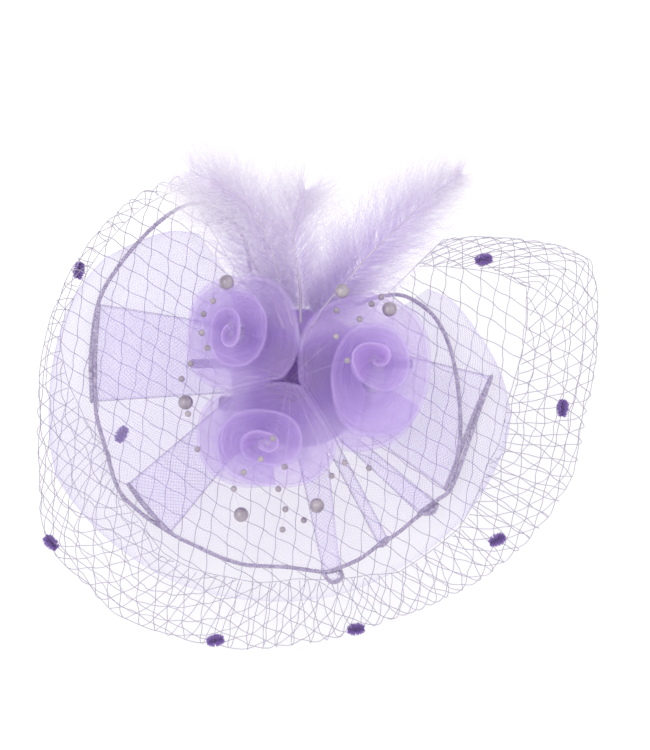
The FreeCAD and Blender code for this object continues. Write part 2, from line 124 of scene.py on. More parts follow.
def new_piece(name, verts, faces, material, body=HEADPIECE, uvs=None):
    """A mesh piece from points in the milliner's frame; uvs has one pair for each point."""
    mesh = bpy.data.meshes.new(name)
    mesh.from_pydata(to_world(verts).tolist(), [], faces)
    mesh.update()
    if uvs is not None:
        add_map(mesh, "UVMap", uvs)
    mesh.polygons.foreach_set("use_smooth", [True] * len(mesh.polygons))
    mesh.materials.append(material)
    piece = bpy.data.objects.new(name, mesh)
    bpy.context.scene.collection.objects.link(piece)
    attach(piece, body)
    return piece


def grid_faces(rows, columns):
    return [
        (r * columns + c, r * columns + c + 1, (r + 1) * columns + c + 1, (r + 1) * columns + c)
        for r in range(rows - 1) for c in range(columns - 1)
    ]


def grid_uvs(grid):
    """Lengths along and across a grid of points, in centimetres, for weaves at a true scale."""
    g = np.asarray(grid, float)
    down = np.linalg.norm(np.diff(g, axis=0), axis=2).mean(1)
    over = np.linalg.norm(np.diff(g, axis=1), axis=2).mean(0)
    u = np.concatenate(([0], np.cumsum(down))) / 10
    v = np.concatenate(([0], np.cumsum(over))) / 10
    return np.stack(np.meshgrid(u, v, indexing="ij"), 2).reshape(-1, 2)


def sheet_piece(name, grid, material, along_rows=None):
    """A sheet from rows of points. X of its second map, shade, is the share of the way across it, and Y the
    share of the way along it, or a value for each row if along_rows is given."""
    g = np.asarray(grid, float)
    rows, columns = g.shape[:2]
    piece = new_piece(name, g.reshape(-1, 3), grid_faces(rows, columns), material, uvs=grid_uvs(g))
    across, down = np.meshgrid(np.linspace(0, 1, columns),
                               np.linspace(0, 1, rows) if along_rows is None else along_rows)
    add_map(piece.data, "shade", np.stack((across.ravel(), down.ravel()), 1))
    piece.data.uv_layers.active_index = 0
    return piece


def sides_of(line):
    """Two directions square to a line at each of its points, turning as little as they can."""
    tangent = np.gradient(line, axis=0)
    tangent /= np.maximum(np.linalg.norm(tangent, axis=1), 1e-9)[:, None]
    side = np.cross(tangent[0], (0.31, 0.17, 0.93))
    first = []
    for t in tangent:
        side = side - t * (side @ t)
        side = side / max(np.linalg.norm(side), 1e-9)
        first.append(side)
    first = np.array(first)
    return first, np.cross(tangent, first)


def add_tube(verts, faces, uvs, line, radius, sides=4):
    """Appends a closed tube along a line; radius is a number or one for each point."""
    line = np.asarray(line, float)
    a, b = sides_of(line)
    radius = np.broadcast_to(np.asarray(radius, float), (len(line),))
    run = np.concatenate(([0], np.cumsum(np.linalg.norm(np.diff(line, axis=0), axis=1)))) / 10
    start = len(verts)
    for i, p in enumerate(line):
        for k in range(sides):
            turn = 2 * math.pi * k / sides
            verts.append(p + radius[i] * (a[i] * math.cos(turn) + b[i] * math.sin(turn)))
            uvs.append((run[i], k / sides))
    for i in range(len(line) - 1):
        for k in range(sides):
            j = (k + 1) % sides
            low, high = start + i * sides, start + (i + 1) * sides
            faces.append((low + k, low + j, high + j, high + k))
    faces.append(tuple(start + k for k in reversed(range(sides))))
    last = start + (len(line) - 1) * sides
    faces.append(tuple(last + k for k in range(sides)))


def tubes_piece(name, lines, radius, material, sides=4, body=HEADPIECE):
    verts, faces, uvs = [], [], []
    for line in lines:
        add_tube(verts, faces, uvs, line, radius, sides)
    return new_piece(name, np.array(verts), faces, material, body, uvs)


# ---------------------------------------------------------------- materials
class Nodes:
    """A material's node tree, with short calls for the nodes used here."""

    def __init__(self, name):
        self.material = bpy.data.materials.new(name)
        self.material.use_nodes = True
        self.tree = self.material.node_tree
        self.shader = self.tree.nodes["Principled BSDF"]

    def add(self, kind, links=None, **settings):
        node = self.tree.nodes.new(kind)
        for key, value in settings.items():
            setattr(node, key, value)
        for socket, value in (links or {}).items():
            self.feed(node.inputs[socket], value)
        return node

    def feed(self, socket, value):
        if hasattr(value, "is_output"):
            self.tree.links.new(value, socket)
        else:
            socket.default_value = value

    def math(self, operation, a, b=0.0, clamp=False):
        node = self.add("ShaderNodeMath", {0: a, 1: b}, operation=operation, use_clamp=clamp)
        return node.outputs[0]

    def place(self, kind="UV", scale=(1, 1, 1), turn=0.0):
        coordinates = self.add("ShaderNodeTexCoord")
        mapping = self.add("ShaderNodeMapping", {"Vector": coordinates.outputs[kind], "Scale": scale,
                                                 "Rotation": (0, 0, math.radians(turn))})
        return mapping.outputs[0]

    def noise(self, vector, scale, detail=3.0):
        return self.add("ShaderNodeTexNoise", {"Vector": vector, "Scale": scale, "Detail": detail}).outputs[0]

    def bands(self, vector, scale):
        node = self.add("ShaderNodeTexWave", {"Vector": vector, "Scale": scale}, bands_direction="X")
        return node.outputs["Fac"]

    def crossed_threads(self, scale):
        """Bright threads both ways on the bias, over dark gaps."""
        one, two = (self.bands(self.place(turn=turn), scale) for turn in (45, -45))
        return self.math("POWER", self.math("MAXIMUM", one, two), 3.0)

    def shade(self):
        """X and Y of a sheet's second map."""
        shade_map = self.add("ShaderNodeUVMap", uv_map="shade")
        return self.add("ShaderNodeSeparateXYZ", {"Vector": shade_map.outputs[0]}).outputs

    def ramp(self, value, stops):
        node = self.add("ShaderNodeValToRGB", {"Fac": value})
        elements = node.color_ramp.elements
        while len(elements) < len(stops):
            elements.new(0.5)
        for element, (position, color) in zip(elements, stops):
            element.position = position
            element.color = (*color, 1)
        return node.outputs[0]

    def curve(self, value, stops):
        """A ramp of plain numbers."""
        return self.ramp(value, [(position, (number,) * 3) for position, number in stops])

    def span(self, value, low, high):
        return self.add("ShaderNodeMapRange", {"Value": value, "To Min": low, "To Max": high}).outputs[0]

    def bump(self, height, strength, distance):
        node = self.add("ShaderNodeBump", {"Height": height, "Strength": strength, "Distance": distance})
        self.tree.links.new(node.outputs[0], self.shader.inputs["Normal"])

    def set(self, **values):
        for key, value in values.items():
            self.feed(self.shader.inputs[key.replace("_", " ")], value)
        return self.material


BAND_PERIOD = 0.314  # of a wave texture at scale 1, in the units of its map
CLOTH_RELIEF = 0.0003  # how far a cloth's threads stand out, in metres
RIM_FALL = 70.0  # the power of the share across the sheet that keeps a rim narrow


def mesh_cloth(name, dark, light, cover, weave, pitch, fullness, rim=0.0):
    """Sheer cloth of fine crossed filaments. cover is how much it hides and weave how far that varies with the
    filaments, which lie pitch centimetres apart. fullness scales both: it is a ramp over Y of the shade map, or
    a number that multiplies Y. rim is how much more the outer edge hides."""
    m = Nodes(name)
    threads = m.crossed_threads(BAND_PERIOD / pitch)
    patches = m.noise(m.place(scale=(0.35, 0.5, 1)), 1.0)
    patchiness = 0.12 * cover
    hidden = m.math("ADD", m.span(threads, cover - weave, cover + weave),
                    m.span(patches, -patchiness, patchiness))
    shade = m.shade()
    if isinstance(fullness, float):
        full = m.math("MULTIPLY", shade["Y"], fullness)
    else:
        full = m.curve(shade["Y"], fullness)
    hidden = m.math("MULTIPLY", hidden, full)
    if rim:
        hidden = m.math("ADD", hidden, m.math("MULTIPLY", m.math("POWER", shade["X"], RIM_FALL), rim))
    color = m.ramp(m.noise(m.place(scale=(0.6, 2.5, 1)), 1.0), [(0.3, dark), (0.7, light)])
    m.bump(threads, 0.25, CLOTH_RELIEF)
    return m.set(Base_Color=color, Roughness=0.55, Alpha=m.math("ADD", hidden, 0.0, clamp=True),
                 Sheen_Weight=0.3, Sheen_Roughness=0.4)


ORGANZA_SCALE = 3.0  # of its threads' wave texture, which puts them a millimetre apart


def ground_cloth(name, painted_shade, middle, pale):
    """Organza gathered to a point and thinner towards its edge. Its colour is painted shade, deep violet in
    its middle where the roses meet over it, paling towards the edge.
    """
    m = Nodes(name)
    threads = m.bands(m.place(turn=45), ORGANZA_SCALE)
    uneven = m.math("ADD", m.shade()["Y"], m.span(m.noise(m.place(), 0.6), -0.08, 0.08))
    color = m.ramp(uneven, [(0.1, painted_shade), (0.4, middle), (0.85, pale)])
    hidden = m.curve(uneven, [(0.0, 0.92), (0.58, 0.85), (0.8, 0.5), (0.94, 0.0)])
    m.bump(threads, 0.25, CLOTH_RELIEF)
    return m.set(Base_Color=color, Roughness=0.6, Alpha=m.math("ADD", hidden, 0.0, clamp=True),
                 Sheen_Weight=0.25, Sheen_Roughness=0.4)


def felt(name, dark, light, fuzz=900.0):
    m = Nodes(name)
    vector = m.place("Object")
    fibres = m.noise(vector, fuzz, 6.0)
    tufts = m.noise(vector, 90.0)
    color = m.ramp(m.math("ADD", m.math("MULTIPLY", fibres, 0.6), m.math("MULTIPLY", tufts, 0.4)),
                   [(0.35, dark), (0.65, light)])
    m.bump(fibres, 0.6, 0.0004)
    return m.set(Base_Color=color, Roughness=0.95, Sheen_Weight=0.4, Sheen_Roughness=0.5)


def ribbon(name, dark, light, fineness=2600.0):
    """Satin or grosgrain with a soft shine. Its ribs lie 2 metres / fineness apart."""
    m = Nodes(name)
    ribs = m.bands(m.place("Object"), fineness / 6.28)
    color = m.ramp(m.noise(m.place("Object"), 400.0), [(0.35, dark), (0.65, light)])
    m.bump(ribs, 0.4, 0.0002)
    return m.set(Base_Color=color, Roughness=m.span(ribs, 0.3, 0.5), Sheen_Weight=0.3)


def lacquer(name, dark, light, low=0.18, high=0.4, metallic=0.0, coat=0.0, alpha=1.0):
    m = Nodes(name)
    wear = m.noise(m.place("Object"), 260.0, 5.0)
    color = m.ramp(wear, [(0.35, dark), (0.7, light)])
    m.bump(m.noise(m.place("Object"), 1500.0), 0.08, 0.0002)
    return m.set(Base_Color=color, Roughness=m.span(wear, low, high), Metallic=metallic, Coat_Weight=coat,
                 Alpha=alpha)


def pearl():
    """Grey-lilac nacre: soft patches under a clear coat."""
    m = Nodes("pearl")
    patches = m.noise(m.place("Object"), 160.0)
    color = m.ramp(patches, [(0.3, (0.22, 0.18, 0.24)), (0.55, (0.33, 0.28, 0.34)), (0.75, (0.42, 0.37, 0.40))])
    return m.set(Base_Color=color, Metallic=0.15, Roughness=m.span(patches, 0.22, 0.36), Coat_Weight=0.6,
                 Coat_Roughness=0.08)


def strand_material(name, dark, light, roughness=0.5, sheen=0.0, scale=1.2):
    """Thread, cord, chenille or quill, mottled along its length."""
    m = Nodes(name)
    color = m.ramp(m.noise(m.place(scale=(scale, 1, 1)), 1.0), [(0.3, dark), (0.7, light)])
    return m.set(Base_Color=color, Roughness=roughness, Sheen_Weight=sheen)


def down_material(name, root, tip):
    """Down in the root's colour where V of its map is 0, low on the feather, and the tip's where it is 1."""
    m = Nodes(name)
    split = m.add("ShaderNodeSeparateXYZ", {"Vector": m.place()})
    color = m.ramp(split.outputs["Y"], [(0.0, root), (1.0, tip)])
    return m.set(Base_Color=color, Roughness=0.8, Sheen_Weight=0.2, Alpha=0.6)


def petal_cloth(name, dark, light, edge, cover):
    """Sheer organza for the rolled strips, with painted light about its fold, which is the middle of the shade
    map's X: the body pales towards the fold as a painted highlight, and the fold itself takes the edge colour,
    a painted shade that damps the light on its crest. cover is how much it hides away from there."""
    m = Nodes(name)
    threads = m.crossed_threads(ORGANZA_SCALE)
    lines = m.noise(m.place(scale=(0.25, 9.0, 1)), 1.0, 2.0)
    from_fold = m.math("ABSOLUTE", m.math("SUBTRACT", m.math("MULTIPLY", m.shade()["X"], 2.0), 1.0))
    nearness = m.math("SUBTRACT", 1.0, from_fold)
    fold = m.math("POWER", nearness, 5.0)
    # nearness to the fold pales the body: a painted highlight
    body = m.ramp(m.math("ADD", m.math("MULTIPLY", lines, 0.75), m.math("MULTIPLY", nearness, 0.22)),
                  [(0.25, dark), (0.85, light)])
    # at the fold the edge colour, darker than the body, is painted shade against the light on the fold's top
    mix = m.add("ShaderNodeMix", {"Factor": fold, 6: body, 7: (*edge, 1)}, data_type="RGBA")
    hidden = m.math("ADD", m.span(threads, cover - 0.05, cover + 0.05), m.span(lines, -0.07, 0.07))
    hidden = m.math("ADD", hidden, m.math("MULTIPLY", fold, -0.16), clamp=True)
    m.bump(threads, 0.2, CLOTH_RELIEF)
    return m.set(Base_Color=mix.outputs[2], Roughness=0.6, Alpha=hidden, Sheen_Weight=0.06, Sheen_Roughness=0.4)


FULLEST = 4.0  # the fullness of crin where Y of its shade map is 1
CRIN = mesh_cloth("crin", (0.44, 0.34, 0.70), (0.62, 0.51, 0.86), 0.105, 0.045, 0.15, FULLEST)
TULLE_FULLNESS = [(0.0, 1.0), (0.28, 1.0), (0.38, 0.6), (0.45, 0.25), (0.66, 0.25), (0.76, 1.0), (1.0, 1.0)]
TULLE = mesh_cloth("tulle", (0.42, 0.35, 0.64), (0.54, 0.46, 0.76), 0.32, 0.06, 0.12, TULLE_FULLNESS, 0.26)
# The heart's colours, and a little the inner petals', are paler than the outer petals': painted light that
# offsets the shade deep in each rose. The last colour of each, for the fold, is painted shade.
OUTER_PETAL = petal_cloth("organza_outer", (0.58, 0.41, 0.83), (0.80, 0.66, 0.97), (0.33, 0.20, 0.62), 0.26)
INNER_PETAL = petal_cloth("organza_inner", (0.62, 0.44, 0.87), (0.82, 0.67, 0.98), (0.33, 0.20, 0.64), 0.31)
HEART_PETAL = petal_cloth("organza_heart", (0.78, 0.57, 0.98), (0.88, 0.72, 1.0), (0.40, 0.26, 0.72), 0.38)
# organza under the roses; the deep violet of its middle is painted shade
GROUND = ground_cloth("organza_ground", (0.10, 0.05, 0.22), (0.26, 0.15, 0.49), (0.86, 0.79, 0.97))
NET = strand_material("net_thread", (0.33, 0.29, 0.40), (0.50, 0.45, 0.58))
CHENILLE = strand_material("chenille", (0.14, 0.06, 0.34), (0.40, 0.25, 0.66), 0.9, 0.3, 6.0)
# the cord's pale flecks are partly its silver-grey lurex thread and partly painted glint
CORD = strand_material("lurex_cord", (0.20, 0.15, 0.30), (0.57, 0.51, 0.67), 0.35, 0.2, 14.0)
QUILL = strand_material("quill", (0.52, 0.42, 0.58), (0.74, 0.68, 0.76), 0.45)
DOWN = down_material("down", (0.58, 0.45, 0.80), (0.86, 0.83, 0.88))
BLACK_SATIN = ribbon("black_satin", (0.012, 0.011, 0.013), (0.04, 0.038, 0.042))

# ---------------------------------------------------------------- camera, floor and light
PHOTO_TARGET = (13.5, 1.6, 30.0)  # the point in the middle of the picture
DISTANCE = 1.5  # from the camera to the target
VIEW_HEIGHT = 0.405  # what the picture's height shows at the target
SENSOR = 36.0  # the width of the camera's sensor, in millimetres

camera_data = bpy.data.cameras.new("camera")
camera_data.sensor_width = SENSOR
camera_data.lens = SENSOR * DISTANCE / VIEW_HEIGHT
camera = bpy.data.objects.new("camera", camera_data)
target = to_world(PHOTO_TARGET)
camera.location = target + OUT * DISTANCE
camera.rotation_euler = Vector(OUT).to_track_quat("Z", "Y").to_euler()
bpy.context.scene.collection.objects.link(camera)
bpy.context.scene.camera = camera

FLOOR_HALF_WIDTH, FLOOR_GAP = 6.0, 0.0005
DAYLIGHT = 1.05
LAMPS = (  # name, place, watts and width
    ("key", (-0.9, -0.9, 1.5), 9.0, 1.2), ("fill", (1.2, -0.2, 1.2), 4.0, 1.4),
)


def stage():
    floor_z = cad_box[0][2] - FLOOR_GAP
    reach = FLOOR_HALF_WIDTH
    corners = [(-reach, -reach, floor_z), (reach, -reach, floor_z), (reach, reach, floor_z),
               (-reach, reach, floor_z)]
    mesh = bpy.data.meshes.new("floor")
    mesh.from_pydata(corners, [], [(0, 1, 2, 3)])
    m = Nodes("floor_white")
    color = m.ramp(m.noise(m.place("Object"), 3.0), [(0.3, (0.90, 0.90, 0.905)), (0.7, (0.93, 0.93, 0.93))])
    mesh.materials.append(m.set(Base_Color=color, Roughness=0.9))
    floor = bpy.data.objects.new("floor", mesh)
    bpy.context.scene.collection.objects.link(floor)
    world = bpy.data.worlds.new("studio")
    world.use_nodes = True
    background = world.node_tree.nodes["Background"]
    background.inputs["Color"].default_value = (1, 1, 1, 1)
    background.inputs["Strength"].default_value = DAYLIGHT
    bpy.context.scene.world = world
    for name, place, energy, width in LAMPS:
        light = bpy.data.lights.new(name, "AREA")
        light.energy = energy
        light.size = width
        lamp = bpy.data.objects.new(name, light)
        lamp.location = place
        lamp.rotation_euler = Vector(place).to_track_quat("Z", "Y").to_euler()
        bpy.context.scene.collection.objects.link(lamp)


bpy.context.scene.view_settings.view_transform = "Standard"
bpy.context.scene.cycles.transparent_max_bounces = 64
stage()

# ---------------------------------------------------------------- veil
VEIL_RIM = [  # degrees round the base, and the radius that the net reaches there
    (121, 126), (131, 131), (142, 133), (157, 136), (172, 138), (186, 141), (199, 147), (207, 156), (214, 162),
    (222, 159), (232, 160), (240, 156), (250, 151), (259, 148), (268, 143), (279, 140), (290, 138), (303, 141),
    (317, 147), (333, 153), (341, 155), (353, 154), (364, 159), (377, 166), (382, 168), (387, 156), (395, 131),
    (404, 107),
]
VEIL_LIP = [  # degrees, and how far the net curls back inside that radius
    (121, 6), (172, 8), (182, 16), (193, 28), (202, 40), (214, 46), (240, 38), (270, 34), (297, 22),
    (317, 29), (335, 42), (360, 41), (384, 36), (404, 20),
]
VEIL_FIRST, VEIL_LAST = 121, 404
VEIL_START = 22  # the net's innermost radius
MESH_PITCH = 9.0  # between neighbouring threads of the flat net
THREADS_RUN = (82, -32)  # degrees, the two ways that the threads of the flat net run
THREAD = 0.22  # their radius
THREADS_EACH_SIDE = 26  # of the net's middle, in each of the two families
NET_REACH, NET_STEP = 235, 1.9  # how far the threads are followed from the middle, and in what steps
NET_HIDDEN = 6  # the first length of net, under the roses, that is left out
RUMPLE = ((1.3, 0.23, 0.05), (0.8, 0.61, -0.09))  # waves in the net: height, and turn per degree and millimetre


def veil_section(angle):
    """The net's line of radius and height at an angle, from the base to its free front edge, 1 mm a step."""
    rim, lip = along(VEIL_RIM, angle), along(VEIL_LIP, angle)
    line = [(VEIL_START, 6.2), (34, 6.2), (0.6 * rim, 9), (rim - 18, 20), (rim - 4, 32), (rim, 43),
            (rim - 3 - 0.25 * lip, 52), (rim - 2 - lip, 56)]
    return even_line(smooth_line(line, 90), 1.0)


SECTIONS = [veil_section(a) for a in range(VEIL_FIRST, VEIL_LAST + 2)]
LONGEST = max(len(s) for s in SECTIONS)
SURFACE = np.array([np.vstack((s, np.repeat(s[-1:], LONGEST - len(s), axis=0))) for s in SECTIONS])
LENGTHS = np.array([len(s) - 1 for s in SECTIONS], float)


def veil_length(angle):
    return float(np.interp(angle - VEIL_FIRST, range(len(LENGTHS)), LENGTHS))


def veil_at(angle, run):
    """The net's place at an angle, a length of net away from its innermost ring."""
    i = min(max(angle - VEIL_FIRST, 0), len(SECTIONS) - 1.001)
    k = min(max(run, 0), LONGEST - 1.001)
    i0, k0 = int(i), int(k)
    f, g = i - i0, k - k0
    radius, height = (
        SURFACE[i0, k0] * (1 - f) * (1 - g) + SURFACE[i0 + 1, k0] * f * (1 - g)
        + SURFACE[i0, k0 + 1] * (1 - f) * g + SURFACE[i0 + 1, k0 + 1] * f * g
    )
    share = run / LONGEST
    height += share * sum(size * math.sin(by_angle * angle + by_run * run) for size, by_angle, by_run in RUMPLE)
    a = math.radians(angle)
    return np.array((radius * math.cos(a), radius * math.sin(a), height))


def veil_angle(x, y):
    angle = math.degrees(math.atan2(y, x)) % 360
    return angle + 360 if angle + 360 <= VEIL_LAST else angle


def veil_lines():
    """Threads that run straight over the flat net, carried over its curled rim to its free edge."""
    lines = []
    for family, run_way in enumerate(THREADS_RUN):
        t = math.radians(run_way)
        way, beside = np.array((math.cos(t), math.sin(t))), np.array((-math.sin(t), math.cos(t)))
        for i in range(-THREADS_EACH_SIDE, THREADS_EACH_SIDE + 1):
            line = []
            for step in np.arange(-NET_REACH, NET_REACH, NET_STEP):
                sway = 1.1 * math.sin(0.055 * step + 1.7 * i + family) + 0.45 * math.sin(0.35 * step + 2.9 * i)
                x, y = way * step + beside * (i * MESH_PITCH + sway)
                angle, run = veil_angle(x, y), math.hypot(x, y) - VEIL_START
                if VEIL_FIRST <= angle <= VEIL_LAST and NET_HIDDEN < run <= veil_length(angle):
                    line.append(veil_at(angle, run))
                    continue
                if len(line) > 2:
                    lines.append(np.array(line))
                line = []
            if len(line) > 2:
                lines.append(np.array(line))
    lines.append(np.array([veil_at(a, veil_length(a)) for a in np.arange(VEIL_FIRST, VEIL_LAST, 1.0)]))
    for end in (VEIL_FIRST, VEIL_LAST):
        lines.append(np.array([veil_at(end, r) for r in np.arange(8, veil_length(end), 2.0)]))
    return lines


DOTS = [  # x, y, front or back of the net, and the way the tuft lies
    (-119, 58, 1, 80), (98, 63, 1, 10), (140, -16, 1, 85), (105, -86, 1, 25), (30, -134, 1, 5),
    (-45, -140, 1, 10), (-133, -88, 1, 135), (-98, -31, -1, 60),
]
DOT_HALF_LENGTH, DOT_RADIUS = 4.3, 3.5
TUFT_HAIRS, TUFT_HAIR_RADII = 420, [0.34, 0.28, 0.1]


def tuft(rng, centre, turn):
    """One chenille tuft: fine fibres bristling from a short twisted core."""
    t = math.radians(turn)
    lie = np.array((math.cos(t), math.sin(t), 0.0))
    beside = np.array((-math.sin(t), math.cos(t), 0.0))
    hairs = []
    for _ in range(TUFT_HAIRS):
        x = rng.uniform(-1, 1)
        a = rng.uniform(0, 2 * math.pi)
        full = math.sqrt(max(1 - 0.75 * x * x, 0.1)) * rng.uniform(0.82, 1.08)
        out = beside * math.cos(a) + np.array((0, 0, 1.0)) * math.sin(a)
        root = centre + lie * x * DOT_HALF_LENGTH * 0.9
        tip = root + out * DOT_RADIUS * full + lie * (x * 0.9 + rng.uniform(-0.4, 0.4))
        hairs.append(np.array((root, (root + tip) / 2 + lie * rng.uniform(-0.2, 0.2), tip)))
    return hairs


def veil():
    net = tubes_piece("veil_threads", veil_lines(), THREAD, NET, sides=3)
    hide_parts("veil_net")
    rng = np.random.default_rng(4)
    hairs = []
    for x, y, side, turn in DOTS:
        angle = veil_angle(x, y)
        shares = (0.72, 1) if side > 0 else (0.3, 0.7)  # of the net's length, past its rim or before it
        places = [veil_at(angle, r) for r in np.linspace(*shares, 80) * veil_length(angle)]
        hairs += tuft(rng, min(places, key=lambda p: math.hypot(p[0] - x, p[1] - y)), turn)
    tufts = tubes_piece("veil_tufts", hairs, TUFT_HAIR_RADII, CHENILLE, sides=3)
    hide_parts("veil_dots")


veil()

# ---------------------------------------------------------------- plain layer under the brim
UNDER_RIM = [  # degrees and radius
    (125, 96), (131, 106), (141, 116), (149, 124), (161, 130), (176, 133), (187, 136), (202, 141), (225, 133),
    (260, 122), (300, 116), (343, 117), (350, 116), (360, 110), (374, 100), (387, 93), (396, 84),
]
UNDER_RISE = [(22, 7.0), (32, 7.0), (60, 9.2), (80, 12.2), (105, 20.0), (142, 42.0)]  # radius and height
RIPPLES, RIPPLE_HEIGHT = 17, 0.9


def under_layer():
    grid = []
    for angle in np.arange(125, 396.1, 1.5):
        rim = along(UNDER_RIM, angle)
        radii = np.linspace(22, rim, 34)
        ripple = RIPPLE_HEIGHT * np.sin(np.radians(angle) * RIPPLES) * (radii / rim) ** 2
        heights = along(UNDER_RISE, radii) + ripple
        a = math.radians(angle)
        grid.append(np.stack((radii * math.cos(a), radii * math.sin(a), heights), 1))
    layer = sheet_piece("under_layer", grid, TULLE)
    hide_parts("under_brim")


under_layer()

# ---------------------------------------------------------------- crin brim, pleated from one long strip
BRIM_RISE = [(20, 8.2), (30, 8.2), (60, 10.8), (75, 14.2), (118, 31.0)]  # radius and height
LAYER_STEP = 0.9  # between one level of the folded strip and the next
PANELS = [  # from fold to fold: outer edge, inner ends, level at each end, share held at the first level
    dict(edge=[(-27, 58), (-30, 74), (-37, 85), (-50, 94), (-65, 92), (-82, 79), (-99, 59), (-109, 40),
               (-113, 13), (-112.5, -13)], inner=[(-16, 42), (-22, 16), (-20, -7)], level=(0, 0), held=1),
    dict(edge=[(-112.5, -13), (-112, 13), (-108.5, 40)], inner=[(-20, -7), (-20, 26)], level=(0, 2), held=0),
    dict(edge=[(-108.5, 40), (-110.5, 13), (-110.5, -13), (-109, -24), (-105, -38), (-98, -60), (-86, -73),
               (-70, -84)], inner=[(-20, 26), (-22, 0), (-20, -22)], level=(2, 0), held=0.42),
    dict(edge=[(-70, -84), (-82, -71), (-93, -57)], inner=[(-20, -22), (-24, 2)], level=(0, 2), held=0),
    dict(edge=[(-93, -57), (-84, -69.5), (-70, -83.5), (-56, -91), (-43, -97), (-30, -101), (-18, -102),
               (-6, -102.6), (13, -105), (21.6, -103.7)], inner=[(-24, 2), (-15, -20), (13.5, -25)],
         level=(2, 0), held=0.25),
    dict(edge=[(21.6, -103.7), (23, -108), (17, -110.5), (12.5, -105.5)], inner=[(13.5, -25), (-5, -28)],
         level=(0, 2), held=0),
    dict(edge=[(12.5, -105.5), (21.6, -102.5), (34, -97), (47.5, -86.4)], inner=[(-5, -28), (14, -23)],
         level=(2, 0), held=0.3),
    dict(edge=[(47.5, -86.4), (46.5, -90), (42.5, -91)], inner=[(14, -23), (7.6, -25.4)], level=(0, 2), held=0),
    dict(edge=[(42.5, -91), (54, -83.2), (64, -75), (74.5, -68)], inner=[(7.6, -25.4), (16, -20)],
         level=(2, 0), held=0.25),
    dict(edge=[(74.5, -68), (72, -73), (64, -73.5)], inner=[(16, -20), (11, -24)], level=(0, 2), held=0),
    dict(edge=[(64, -73.5), (74.5, -66), (81, -61), (86, -50), (95, -24), (103.7, 1)],
         inner=[(11, -24), (22, -8), (21.6, 21.6)], level=(2, 0), held=0.2),
    dict(edge=[(103.7, 1), (95, -18), (86, -42), (78.5, -60.5)], inner=[(21.6, 21.6), (18, -18)],
         level=(0, 2), held=0),
    dict(edge=[(78.5, -60.5), (84, -50), (86.5, -36), (87, -22.7), (85.3, -1), (81, 18), (74, 32), (65, 40.5),
               (54, 45.4), (40.5, 43.7), (29.7, 39.4)], inner=[(18, -18), (22, 0), (16, 25)],
         level=(2, 0), held=0.6),
]
# the fullness of the panels, dense where they are folded back, and of the folds between them
PANEL_FULLNESS = (1.0, 2.1, 0.6, 2.2, 0.55, 2.1, 0.65, 2.1, 0.65, 2.1, 0.6, 1.1, 0.5)
FOLD_FULLNESS = 3.6
ACROSS_STEPS = 26
LEVEL_CHANGE = 1.6  # how much faster than it has to a panel changes level


def panel_grid(panel, number):
    """One panel's rulings from its gathered inner end to its edge."""
    edge = even_line(smooth_line(panel["edge"], 200), 2.2)
    count = len(edge)
    inner = even_line(smooth_line(panel["inner"], 60), 0.1)
    inner = inner[np.linspace(0, len(inner) - 1, count).astype(int)]
    start, end = panel["level"]
    t = np.linspace(0, 1, count)
    if panel["held"] in (0, 1):
        level = start + (end - start) * t
    else:
        level = start + (end - start) * np.clip((t - panel["held"]) / (1 - panel["held"]) * LEVEL_CHANGE, 0, 1)
    rows = []
    for i in range(count):
        s = np.linspace(0, 1, ACROSS_STEPS)[:, None]
        flat = inner[i] + (edge[i] - inner[i]) * s
        radius = np.linalg.norm(flat, axis=1)
        height = along(BRIM_RISE, radius) + level[i] * LAYER_STEP * (0.25 + 0.75 * s[:, 0])
        height += 0.5 * np.sin(i * 0.35 + number * 2.1) * s[:, 0] ** 2
        rows.append(np.column_stack((flat, height)))
    return np.array(rows)


def twisted(line, strands, orbit, pitch, per_turn=8):
    """Strands wound round a line, as in a corded or braided edge, a turn to each pitch."""
    line = even_line(line, pitch / per_turn)
    a, b = sides_of(line)
    turn = np.arange(len(line)) * 2 * math.pi / per_turn
    lines = []
    for k in range(strands):
        phase = (turn + 2 * math.pi * k / strands)[:, None]
        lines.append(line + orbit * (a * np.cos(phase) + b * np.sin(phase)))
    return lines


CORD_STRAND = 0.62  # a strand's radius, and how far it winds from the cord's middle


def brim():
    grids = [panel_grid(panel, i) for i, panel in enumerate(PANELS)]
    grids[1:] = [grid[1:] for grid in grids[1:]]
    strip = np.concatenate(grids)
    full = np.repeat(PANEL_FULLNESS, [len(grid) for grid in grids])
    full[np.cumsum([len(grid) for grid in grids[:-1]]) - 1] = FOLD_FULLNESS
    cloth = sheet_piece("crin_brim", strip, CRIN, full / FULLEST)
    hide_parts("brim_crin")
    cord = tubes_piece("braided_edge", twisted(strip[:, -1], 3, CORD_STRAND, 5.2), CORD_STRAND, CORD, sides=5)
    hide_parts("brim_edge_cord")


brim()

# ---------------------------------------------------------------- roses
ROSES = {  # rings that the rolled strip's fold passes, a turn apart: middle, then half width and half height
    "left": [(-38, 25, 1.2, 2.4), (-38, 25, 7.5, 12), (-35, 24, 19, 22), (-31.8, 24.4, 31.5, 31.5)],
    "lower": [(-19, -35.5, 2.4, 1.6), (-19, -35.5, 12.4, 8.8), (-17.5, -34, 26, 19.5), (-17.5, -31, 38.5, 30)],
    "right": [(41, 10.3, 2.6, 2), (41, 10.3, 14.5, 12), (40, 2.5, 24, 29), (34.5, 2.5, 36.5, 43)],
}
ROLL_START = {"left": 40, "lower": 150, "right": 200}  # degrees
